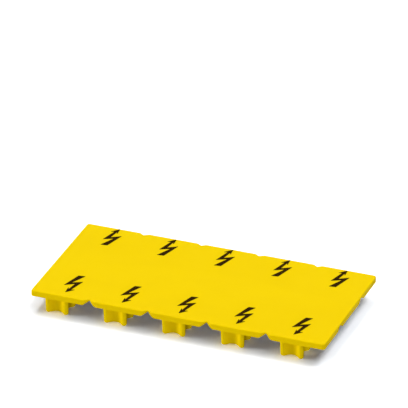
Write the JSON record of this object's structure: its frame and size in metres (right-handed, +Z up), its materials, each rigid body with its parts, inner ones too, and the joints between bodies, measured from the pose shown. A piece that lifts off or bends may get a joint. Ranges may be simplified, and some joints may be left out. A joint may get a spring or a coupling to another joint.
{
  "type": "terminal warning cover plate",
  "caption": "Thin moulded plate with rows of star-shaped pegs underneath, V-shaped break grooves across its underside and small notches along its long edges.",
  "frame": {"origin": "middle of the footprint, in the plane of the peg ends that the plate stands on", "axes": "+X along the row of terminals, the longest side; +Y across the row; +Z up through the plate's flat marked face, the shortest side"},
  "size_m": [0.051, 0.025, 0.0036],
  "materials": {
    "yellow_plastic": "fine moulded satin",
    "black_print": "flat printed ink"
  },
  "bodies": {
    "root": {"warning_cover": "yellow_plastic"}
  },
  "joints": []
}
